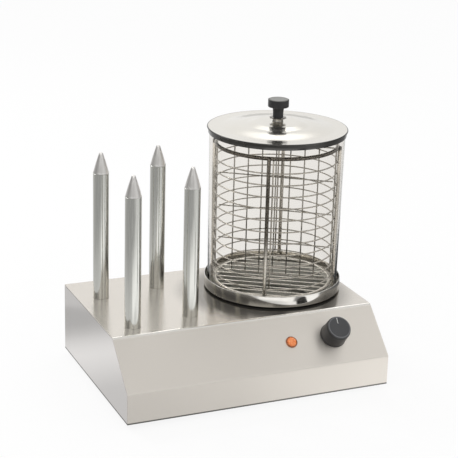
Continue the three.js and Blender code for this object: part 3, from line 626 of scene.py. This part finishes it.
def make_pan_steel():
    """Polished steel, with the bowl inside the ledge darker and rougher."""
    steel = Finish("pan_steel", (0.70, 0.68, 0.64), 1.0, 0.10)
    spots = steel.noise(EVEN, 25.0, 2.0)
    dull = steel.colors(spots, [(NOISE_LOW, (0.40, 0.395, 0.375)), (NOISE_HIGH, (0.46, 0.455, 0.43))])
    band = steel.tint(steel.noise(BAND_GRAIN, 14.0), 0.04)
    outside = steel.span(steel.from_pan(), 96.5, 100.5)
    steel.paint(steel.blend(outside, dull, band))
    steel.feed(steel.ramp(outside, 0.0, 1.0, 0.42, 0.11), "Roughness")
    return steel


def make_glass():
    """Clear glass that lets light through to what stands inside it."""
    clear = Finish("jar_clear_glass", (0.985, 0.970, 0.945), 0.0, 0.0)
    clear.feed(1.0, "Transmission Weight")
    clear.feed(1.13, "IOR")
    smear = clear.noise((6, 6, 3), 3.0, 2.0)
    clear.feed(clear.ramp(smear, 0.45, 0.8, 0.0, 0.02), "Roughness")
    through = clear.add("ShaderNodeBsdfTransparent")
    clear.join((0.96, 0.955, 0.95), through.inputs["Color"])
    in_shadow = clear.add("ShaderNodeLightPath").outputs["Is Shadow Ray"]
    clear.cover(clear.mix(in_shadow, clear.shader.outputs["BSDF"], through.outputs["BSDF"]))
    return clear


def make_lens():
    """Amber plastic with small cells cut into it, and a faint glow."""
    amber = Finish("amber_lens_plastic", (0.90, 0.30, 0.11), 0.0, 0.16)
    cells = amber.add("ShaderNodeTexVoronoi")
    amber.join(amber.place(), cells.inputs["Vector"])
    amber.join(420.0, cells.inputs["Scale"])
    near = cells.outputs["Distance"]
    amber.paint(amber.colors(near, [(0.0, (0.97, 0.42, 0.17)), (0.6, (0.83, 0.23, 0.07))]))
    amber.feed(amber.color, "Emission Color")
    amber.feed(0.13, "Emission Strength")
    amber.bump(near, 0.25, 0.2 * MM)
    return amber


def make_grip_plastic():
    """Black moulding with a paler top that is a painted highlight."""
    plastic = moulded("black_grip", (0.030, 0.030, 0.032), 0.40)
    # The paler top is a painted highlight from light falling from above
    top = plastic.span(plastic.axis("Z"), CAP_TOP - 1.1, CAP_TOP - 0.6)
    plastic.paint(plastic.blend(top, plastic.color, (0.24, 0.24, 0.225)))
    return plastic


def make_dial_plastic():
    """Black moulding with a slightly lighter face and a painted highlight on the rim round it."""
    plastic = moulded("black_moulding", (0.022, 0.021, 0.021), 0.35)
    plastic.feed(0.4, "Specular IOR Level")
    out = Vector((0, -math.sin(SLOPE), math.cos(SLOPE)))
    foot = Vector((0, FRONT, BOTTOM + FRONT_HEIGHT)).dot(out)
    away = plastic.vector("DOT_PRODUCT", plastic.place(), tuple(out))
    face = plastic.span(away, foot + KNOB_FACE - 1.5, foot + KNOB_FACE - 0.8)
    # The pale rim is a painted highlight
    rim = plastic.span(away, foot + KNOB_FACE - 0.35, foot + KNOB_FACE - 0.25)
    cap = plastic.blend(rim, (0.062, 0.063, 0.066), (0.16, 0.163, 0.17))
    plastic.paint(plastic.blend(face, plastic.color, cap))
    return plastic


casing_steel = make_casing_steel()
# The side panels carry painted shade along their lower edge
side_steel = brushed("side_steel", (0.76, 0.735, 0.715), 0.16, (60, 2, 60), edge_shade=True)
spike_steel = make_spike_steel()
pan_steel = make_pan_steel()
star_steel = polished("star_washer_steel", (0.30, 0.285, 0.26), 0.20, 0.12)
lid_steel = make_lid_steel()
cage_steel = make_cage_steel()
grid_steel = polished("grid_steel", (0.74, 0.72, 0.67), 0.30, 0.05)
wire_steel = polished("wire_steel", (0.34, 0.325, 0.295), 0.26, 0.12)
zinc = brushed("zinc_plate", (0.62, 0.62, 0.60), 0.40, FITTING_GRAIN, 0.08, 0.08)
sheath = brushed("element_sheath_steel", (0.30, 0.27, 0.25), 0.45, FITTING_GRAIN, 0.08, 0.12)
bezel_steel = brushed("bezel_steel", (0.52, 0.27, 0.16), 0.35, FITTING_GRAIN, 0.05, 0.08)
dial_black = make_dial_plastic()
grip_black = make_grip_plastic()
black = moulded("black_fitting", (0.030, 0.031, 0.034), 0.45)
white = moulded("white_moulding", (0.80, 0.80, 0.78), 0.45)
rubber = moulded("black_rubber", (0.022, 0.022, 0.023), 0.7, 500.0, 0.3)
ceramic = moulded("ceramic_body", (0.68, 0.62, 0.52), 0.7, 400.0, 0.3)
sleeve = moulded("wiring_sleeve_cloth", (0.10, 0.07, 0.05), 0.75, 700.0, 0.4)
glass = make_glass()
lens = make_lens()


def leg(a, b):
    """The way into the sheet from a leg of the casing's outline."""
    along = (Vector(b) - Vector(a)).normalized()
    return Vector((along.y, -along.x))


def casing_outline():
    """Side view of the folded sheet, outer line first, with the same count on the inner line."""
    steps = 10
    border = 0.4
    outer = [(FRONT, BOTTOM), (FRONT, BOTTOM + FRONT_HEIGHT), (FRONT + SLOPE_RUN, TOP), (BACK, TOP)]
    inner = []
    for i, corner in enumerate(outer):
        before = leg(outer[i - 1], corner) if i else None
        after = leg(corner, outer[i + 1]) if i < len(outer) - 1 else None
        one = before or after
        two = after or before
        inner.append(tuple(Vector(corner) + (one + two) * (SHEET / (1 + one.dot(two)))))
    outer_line = fillet(outer, [0, BEND, BEND, 0], steps, False, border)
    inner_line = fillet(inner, [0, BEND - SHEET, BEND - SHEET, 0], steps, False, border)
    return outer_line + inner_line[::-1]


def drill(bm, radius, segments, place):
    reach = 5.0
    add_lathe(bm, [(0, -reach), (radius, -reach), (radius, reach), (0, reach)], segments, place)


def casing_holes():
    """The holes in the sheet: four spikes, the pan's bowl, the knob's bush and the lamp."""
    bm = bmesh.new()
    for i in range(1, 5):
        drill(bm, SPIKE_RADIUS + SPIKE_GAP, 64, at(*middle(f"spike_tube_{i}"), TOP))
    drill(bm, BOWL_RADIUS + BOWL_GAP, 128, at(PAN_X, PAN_Y, TOP))
    drill(bm, BUSH_HOLE, 48, slope_place(middle("regulator_nut")[0], KNOB_ALONG))
    drill(bm, LAMP_HOLE, 48, slope_place(middle("lamp_body")[0], LAMP_ALONG))
    bmesh.ops.recalc_face_normals(bm, faces=bm.faces)
    return plain_mesh(bm, "casing_holes")


def drilled_casing():
    """The folded sheet with its holes cut."""
    outline = casing_outline()
    bm = bmesh.new()
    ends = []
    for x in (-HALF_WIDTH, HALF_WIDTH):
        ends.append([bm.verts.new(Vector((x, y, z)) * MM) for y, z in outline])
    bridge(bm, ends)
    count = len(outline)
    for end in ends:
        for k in range(count // 2 - 1):
            bm.faces.new((end[k], end[k + 1], end[count - 2 - k], end[count - 1 - k]))
    bmesh.ops.recalc_face_normals(bm, faces=bm.faces)
    shell = show("casing_sheet", plain_mesh(bm, "casing_sheet"))
    tool = show("casing_holes", casing_holes())
    cut = shell.modifiers.new("holes", "BOOLEAN")
    cut.operation = "DIFFERENCE"
    cut.object = tool
    cut.solver = "EXACT"
    bpy.context.view_layer.update()
    drilled = bpy.data.meshes.new_from_object(shell.evaluated_get(bpy.context.evaluated_depsgraph_get()))
    bpy.data.objects.remove(tool)
    bpy.data.objects.remove(shell)
    return drilled


def make_casing():
    end_round = 0.3
    square = math.radians(60)
    bm = bmesh.new()
    bm.from_mesh(drilled_casing())
    rims = []
    for edge in bm.edges:
        at_end = all(abs(abs(v.co.x) - HALF_WIDTH * MM) < TINY for v in edge.verts)
        if at_end and len(edge.link_faces) == 2 and edge.calc_face_angle(0) > square:
            rims.append(edge)
    bmesh.ops.bevel(bm, geom=rims, offset=end_round * MM, segments=2, profile=0.7, affect="EDGES",
                    clamp_overlap=True)
    mesh = finish_mesh(bm, "casing_shell", 20)
    shell = link("casing_shell", mesh, "root", casing_steel, ["casing_wrap"])
    weighted = shell.modifiers.new("weighted", "WEIGHTED_NORMAL")
    weighted.keep_sharp = True
    weighted.weight = 100


def make_spikes():
    foot_round = 0.6
    groove = 0.28
    cone_round = 0.3
    flat_radius = 2.5
    belly_share = 0.16
    steps = 14
    for i in range(1, 5):
        low, high = corners(f"spike_tube_{i}")
        top = corners(f"spike_tip_{i}")[1].z
        radius = SPIKE_RADIUS
        shoulder = high.z
        profile = [
            (0, low.z),
            (radius - foot_round, low.z),
            (radius, low.z + foot_round),
            (radius, TOP + 1),
            (radius, shoulder - 1.2),
            (radius, shoulder - 0.5),
            (radius - groove, shoulder - groove),
            (radius - groove, shoulder),
            (radius - 0.06, shoulder + 0.25),
        ]
        for k in range(1, steps + 1):
            share = k / steps
            reach = (radius - cone_round - flat_radius) * (1 - share) * (1 + belly_share * share)
            profile.append((flat_radius + reach, shoulder + cone_round + (SPIKE_TIP - 1.2) * share))
        profile += [(2.1, top - 0.45), (1.4, top - 0.15), (0.6, top), (0, top)]
        bm = bmesh.new()
        add_lathe(bm, profile, 80, at(*middle(f"spike_tube_{i}")))
        mesh = finish_mesh(bm, f"bun_spike_{i}", 30)
        link(f"bun_spike_{i}", mesh, "root", spike_steel,
             [f"spike_tube_{i}", f"spike_tip_{i}"])


def make_pan():
    low, high = corners("water_pan")
    radius = (high.x - low.x) / 2
    rim = high.z
    wall = 1.2
    band_low = rim - BAND_HEIGHT
    lip_low = band_low - BAND_LIP
    ledge = band_low + wall
    floor = TOP - 34.0
    outline = [
        (0, floor + wall), (BOWL_RADIUS - wall, floor + wall), (BOWL_RADIUS - wall, ledge),
        (radius - wall, ledge), (radius - wall, rim), (radius, rim), (radius, lip_low),
        (radius - wall, lip_low), (radius - wall, band_low),
        (BOWL_RADIUS, band_low), (BOWL_RADIUS, floor), (0, floor),
    ]
    rounds = [0, 6.0, 1.4, 1.6, 0.55, 0.55, 0.5, 0.5, 0, 1.0, 7.0, 0]
    bm = bmesh.new()
    add_lathe(bm, fillet(outline, rounds, 6, closed=False), 160, PAN_PLACE)
    sunk = floor + 0.4
    stud = [(0, low.z), (2.6, low.z), (3, low.z + 0.4), (3, sunk), (0, sunk)]
    add_lathe(bm, stud, 32, PAN_PLACE)
    mesh = finish_mesh(bm, "pan_body", 50)
    link("pan_body", mesh, "root", pan_steel, ["water_pan"])


def make_jar():
    rim_round = 1.3
    inner = GLASS_RADIUS - GLASS_WALL
    outline = [
        (inner, GLASS_LOW.z), (GLASS_RADIUS, GLASS_LOW.z),
        (GLASS_RADIUS, GLASS_HIGH.z), (inner, GLASS_HIGH.z),
    ]
    bm = bmesh.new()
    add_lathe(bm, fillet(outline, [rim_round] * 4, 5), 192, PAN_PLACE, closed=True)
    mesh = finish_mesh(bm, "jar_wall", 60)
    link("jar_wall", mesh, "jar", glass, ["glass_jar"])


def make_cage():
    press = 0.5
    pair_gap = 6.0
    bm = bmesh.new()
    add_wire(bm, circle(BASKET_RADIUS, TOP_RING_Z, 120), TOP_RING_WIRE, 12, PAN_PLACE, closed=True)
    rings = [TOP_RING_Z - FIRST_RING_DROP - RING_PITCH * i for i in range(RINGS)]
    for z in rings:
        add_wire(bm, circle(BASKET_RADIUS, z, 96), RING_WIRE, 8, PAN_PLACE, closed=True)
    low_ring = circle(BASKET_RADIUS, BOTTOM_RING_Z, 96)
    add_wire(bm, low_ring, BOTTOM_RING_WIRE, 8, PAN_PLACE, closed=True)
    outer = BASKET_RADIUS + RING_WIRE + POST_WIRE - press
    inner = BASKET_RADIUS - RING_WIRE - THIN_POST_WIRE + press
    heights = (BASKET_BOTTOM + WIRE_STEP, TOP_RING_Z - WIRE_STEP)
    for quarter in range(4):
        turn = PAN_PLACE @ upright_turn(quarter * math.pi / 2 - BASKET_TURN)
        thick = [(outer, 0, z) for z in (BASKET_BOTTOM + 0.8, *heights, TOP_RING_Z + 1.0)]
        add_wire(bm, thick, POST_WIRE, 12, turn)
        thin = [(inner, pair_gap, z) for z in (rings[-1] - 0.4, *heights, TOP_RING_Z)]
        add_wire(bm, thin, THIN_POST_WIRE, 10, turn)
    mesh = finish_mesh(bm, "basket_rings", 50)
    link("basket_rings", mesh, "basket", cage_steel, ["basket_cage"])


def make_separator():
    ring_flat = BASKET_RADIUS * math.cos(math.pi / 24)
    half = ring_flat - TOP_RING_WIRE - 0.3
    bar_offset = 1.5
    bm = bmesh.new()
    turn = PAN_PLACE @ upright_turn(-PANEL_TURN)
    rails = [TOP_RING_Z - RAIL_PITCH * i for i in range(RAILS)]
    for z in rails:
        add_wire(bm, [(-half, 0, z), (0, 0, z), (half, 0, z)], PANEL_WIRE, 8, turn)
    heights = (rails[-1] - 0.7, TOP_RING_Z - WIRE_STEP, TOP_RING_Z + 1.6)
    for i in range(-3, 4):
        add_wire(bm, [(i * BAR_PITCH, bar_offset, z) for z in heights], PANEL_WIRE, 8, turn)
    mesh = finish_mesh(bm, "separator_wires", 50)
    link("separator_wires", mesh, "basket", wire_steel, ["basket_separator"])


def make_floor_grid():
    rim = BASKET_RADIUS - 2.7
    bm = bmesh.new()
    turn = at(PAN_X, PAN_Y, BOTTOM_RING_Z) @ upright_turn(-BASKET_TURN)
    add_wire(bm, circle(rim, 0, 96), BOTTOM_RING_WIRE, 8, turn, closed=True)
    for i in range(-5, 6):
        y = i * GRID_PITCH
        half = math.sqrt(rim ** 2 - y ** 2) - 0.6
        add_wire(bm, [(-half, y, 0), (0, y, 0), (half, y, 0)], PANEL_WIRE, 8, turn)
    mesh = finish_mesh(bm, "floor_grid_wires", 50)
    link("floor_grid_wires", mesh, "basket", grid_steel, ["basket_floor_grid"])


def lid_dome():
    """Radius and rise of the lid's top, from the boss out to the flat rim."""
    line = [(15, 8.0), (34, 7.5), (46, 4.4), (50, 4.15), (54, 3.8), (84, 0.2), (92, 0.05)]
    return fillet(line, [0, 12, 5, 5, 8, 12, 0], 6, closed=False)


def make_lid():
    edge = LID_EDGE
    under = edge - LID_SHEET
    dome = lid_dome()
    hole = 2.9
    bead = 1.2
    bead_steps = 12
    centre_r, centre_z = LID_RADIUS - bead, edge - bead
    profile = [(hole, LID_CROWN)]
    profile += [(r, edge + rise) for r, rise in dome]
    profile += [(98.5, edge - 0.2)]
    for k in range(bead_steps + 1):
        a = math.radians(110 - 200 * k / bead_steps)
        profile.append((centre_r + bead * math.cos(a), centre_z + bead * math.sin(a)))
    skirt = 101.5
    low = LID_LOW.z
    profile += [(skirt, edge - 2.6), (skirt, low + 0.4), (skirt - 0.2, low), (skirt - 0.7, low)]
    profile += [(skirt - 0.9, low + 0.4), (skirt - 0.9, under - 0.3), (skirt - 1.2, under)]
    profile += [(r, under + rise) for r, rise in reversed(dome)]
    profile += [(hole, LID_CROWN - LID_SHEET)]
    bm = bmesh.new()
    add_lathe(bm, profile, 192, PAN_PLACE, closed=True)
    mesh = finish_mesh(bm, "lid_cover", 50)
    link("lid_cover", mesh, "lid", lid_steel, ["lid_shell"])


def make_star_washer():
    low, high = corners("lid_washer")
    point_radius = 13.0
    notch = 2.4
    edge_round = 0.3
    edge_share = 0.96
    points = []
    for k in range(2 * STAR_POINTS):
        a = math.pi * k / STAR_POINTS
        radius = point_radius - (k % 2) * notch
        points.append((radius * math.cos(a), radius * math.sin(a)))
    outline = fillet(points, [1.0] * len(points), 4)
    star_low = high.z - 1.6
    levels = [
        (star_low, edge_share), (star_low + edge_round, 1.0),
        (high.z - edge_round, 1.0), (high.z, edge_share),
    ]
    bm = bmesh.new()
    add_prism(bm, outline, levels, PAN_PLACE)
    collar = [
        (0, low.z), (8.2, low.z), (8.2, low.z + 1.2), (7.4, low.z + 2.5), (8.2, star_low + 0.4),
        (0, star_low + 0.4),
    ]
    add_lathe(bm, fillet(collar, [0, 0.3, 0.6, 0.8, 0, 0], 4, closed=False), 48, PAN_PLACE)
    mesh = finish_mesh(bm, "lid_star_washer")
    link("lid_star_washer", mesh, "lid", star_steel, ["lid_washer"])


def make_lid_grip():
    low, high = corners("lid_knob")
    cap = high.z - CAP_HEIGHT
    dished = high.z - 0.4
    radius = (high.x - low.x) / 2
    outline = [
        (0, low.z), (8.4, low.z), (7.6, (low.z + cap) / 2), (8.4, cap), (radius, cap + 1.6),
        (radius, high.z), (radius - 1.5, high.z), (radius - 2.1, dished), (0, dished),
    ]
    profile = fillet(outline, [0, 0.4, 8, 0.8, 1.1, 1.0, 0.2, 0.4, 0], 5, closed=False)
    bm = bmesh.new()
    add_lathe(bm, profile, 72, PAN_PLACE)
    mesh = finish_mesh(bm, "lid_grip")
    link("lid_grip", mesh, "lid", grip_black, ["lid_knob"])


def make_control():
    place = slope_place(middle("regulator_shaft")[0], KNOB_ALONG)
    face = KNOB_FACE
    dished = face - 0.45
    outline = [
        (0, 1), (20.0, 1), (18.2, face - 3.6), (17.5, face - 2.9), (17.5, face - 1.2),
        (16.3, face), (15.5, face), (15.0, dished), (0, dished),
    ]
    profile = fillet(outline, [0, 0.5, 0.3, 0.3, 0.8, 0.4, 0.2, 0.3, 0], 5, closed=False)
    bm = bmesh.new()
    add_lathe(bm, profile, 96, place)
    mesh = finish_mesh(bm, "control_dial")
    link("control_dial", mesh, "knob", dial_black, ["control_knob"])

    half_width, inner, outer = 0.9, 5.8, 15.4
    line = [(-half_width, inner), (half_width, inner), (half_width, outer), (-half_width, outer)]
    bm = bmesh.new()
    add_prism(bm, fillet(line, [0.4] * 4, 3), [(face - 0.59, 1.0), (face - 0.1, 1.0)], place)
    mesh = finish_mesh(bm, "dial_line")
    link("dial_line", mesh, "knob", white, ["knob_pointer"])


def make_lamp():
    place = slope_place(middle("lamp_body")[0], LAMP_ALONG)
    outline = [
        (0, -24), (6.4, -24), (6.4, 0), (8.6, 0), (8.6, 1.8), (7.3, 1.8), (7.3, 0.8), (0, 0.8),
    ]
    bm = bmesh.new()
    add_lathe(bm, fillet(outline, [0, 0.6, 0, 0, 0.8, 0.3, 0, 0], 5, closed=False), 64, place)
    mesh = finish_mesh(bm, "lamp_bezel_ring")
    link("lamp_bezel_ring", mesh, "root", bezel_steel, ["lamp_body"])

    sides = 9
    cut = [(0, 0.85), (6.9, 0.85), (7.1, 1.8), (6.3, 3.4), (3.4, 4.6), (0, 4.8)]
    bm = bmesh.new()
    add_lathe(bm, cut, sides, place @ upright_turn(math.radians(12)))
    mesh = finish_mesh(bm, "lamp_cap", 8)
    link("lamp_cap", mesh, "root", lens, ["lamp_lens"])


make_casing()
make_spikes()
make_pan()
make_jar()
make_cage()
make_separator()
make_floor_grid()
make_lid()
make_star_washer()
make_lid_grip()
make_control()
make_lamp()

# Finishes of the CAD pieces that stay as they are
CAD_SHARP = math.radians(32)
FINISHES = {
    side_steel: ["side_panel_left", "side_panel_right"],
    casing_steel: ["back_panel"],
    zinc: ["base_plate", "element_clamp", "regulator_nut", "regulator_shaft", "lid_screw"],
    sheath: ["boiler_element"],
    black: ["lamp_nut", "cable_gland", "gland_locknut"],
    white: ["terminal_block"],
    sleeve: ["supply_lead", "heater_lead"],
    ceramic: ["regulator_body", "safety_cutout"],
    rubber: ["pan_gasket"],
}
for i in range(1, 5):
    FINISHES[rubber].append(f"foot_{i}")
    FINISHES[ceramic].append(f"spike_heater_{i}")
    FINISHES[zinc] += [f"foot_screw_{i}", f"base_screw_{i}", f"spike_collar_{i}"]
for finish, names in FINISHES.items():
    for name in names:
        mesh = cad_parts[name].data
        mesh.materials.clear()
        mesh.materials.append(finish.material)
        mesh.shade_smooth()
        mesh.set_sharp_from_angle(angle=CAD_SHARP)


def make_floor():
    """White to the eye. Bright steel mirrors it pale near the casing, then in the tones of the room."""
    bm = bmesh.new()
    bmesh.ops.create_grid(bm, x_segments=12, y_segments=12, size=6.0)
    floor = show("floor", plain_mesh(bm, "floor"))
    matt = Finish("floor_white", (1.0, 1.0, 1.0), 0.0, 0.9)
    matt.feed(0.0, "Specular IOR Level")
    matt.material.cycles.emission_sampling = "NONE"
    glow = matt.add("ShaderNodeEmission").outputs["Emission"]
    glow_share = matt.merge("MULTIPLY", matt.seen(), 0.86)
    white_floor = matt.mix(glow_share, matt.shader.outputs["BSDF"], glow)

    place = matt.place()
    bearing = matt.bearing(place)
    out = matt.vector("LENGTH", place)
    room = matt.blend(matt.ramp(out, 0.50, 0.85), matt.tones(bearing, ROOM),
                      matt.tones(bearing, FAR_ROOM))
    across = matt.ramp(matt.axis("X"), -0.20, 0.26)
    along = matt.ramp(matt.axis("Y"), -0.10, 0.35)
    in_front = matt.ramp(matt.axis("X"), -0.202, -0.200)
    near = matt.blend(in_front, matt.tones(along, SIDE_FLOOR), matt.tones(across, FRONT_FLOOR))
    mirrored = matt.add("ShaderNodeEmission")
    matt.join(matt.blend(matt.ramp(out, 0.40, 0.43), near, room), mirrored.inputs["Color"])
    matt.join(BRIGHTEST, mirrored.inputs["Strength"])
    in_mirror = matt.add("ShaderNodeLightPath").outputs["Is Glossy Ray"]
    matt.cover(matt.mix(in_mirror, white_floor, mirrored.outputs["Emission"]))
    floor.data.materials.append(matt.material)


def make_world():
    """A white background, with a room of pale and dark tones that lights the object."""
    world = bpy.data.worlds.new("studio")
    bpy.context.scene.world = world
    world.use_nodes = True
    world.node_tree.nodes.clear()
    sky = Nodes(world.node_tree)
    way = sky.add("ShaderNodeTexCoord").outputs["Generated"]
    height = sky.axis("Z", way)
    rise = sky.ramp(height, 0.42, 0.54, kind="LINEAR")
    color = sky.blend(rise, sky.tones(sky.bearing(way), WALLS), sky.tones(height, CEILING))
    room = sky.add("ShaderNodeBackground")
    sky.join(color, room.inputs["Color"])
    sky.join(BRIGHTEST, room.inputs["Strength"])
    backdrop = sky.add("ShaderNodeBackground")
    sky.join((1, 1, 1), backdrop.inputs["Color"])
    both = sky.mix(sky.seen(), room.outputs["Background"], backdrop.outputs["Background"])
    sky.join(both, sky.add("ShaderNodeOutputWorld").inputs["Surface"])


def add_area(name, place, target, size, energy):
    data = bpy.data.lights.new(name, "AREA")
    data.shape = "RECTANGLE"
    data.size, data.size_y = size
    data.energy = energy
    lamp = show(name, data)
    lamp.location = place
    lamp.rotation_euler = (Vector(target) - Vector(place)).to_track_quat("-Z", "Y").to_euler()


def make_camera():
    pitch, roll = math.radians(18.31), math.radians(1.67)
    place = Vector((-788.8, -1795.6, 863.2 + BOTTOM)) * MM
    ahead = Vector((
        math.sin(CAMERA_YAW) * math.cos(pitch),
        math.cos(CAMERA_YAW) * math.cos(pitch),
        -math.sin(pitch),
    ))
    level = Vector((math.cos(CAMERA_YAW), -math.sin(CAMERA_YAW), 0))
    above = level.cross(ahead)
    right = level * math.cos(roll) + above * math.sin(roll)
    up = above * math.cos(roll) - level * math.sin(roll)
    data = bpy.data.cameras.new("camera")
    data.sensor_width = 36
    data.lens = 112.4
    camera = show("camera", data)
    camera.matrix_world = Matrix((
        (right.x, up.x, -ahead.x, place.x),
        (right.y, up.y, -ahead.y, place.y),
        (right.z, up.z, -ahead.z, place.z),
        (0, 0, 0, 1),
    ))
    bpy.context.scene.camera = camera


make_floor()
make_world()
add_area("key", (-1.6, -1.8, 2.4), (0, 0, 0.15), (2.4, 2.4), 12)
add_area("back_left", (-1.0, 1.7, 2.0), (0, 0, 0.1), (0.6, 0.6), 9)
add_area("back_softbox", (0.96, 1.3, 2.1), (0, 0, 0.1), (0.9, 0.7), 2)
make_camera()
bpy.context.scene.view_settings.view_transform = "Standard"
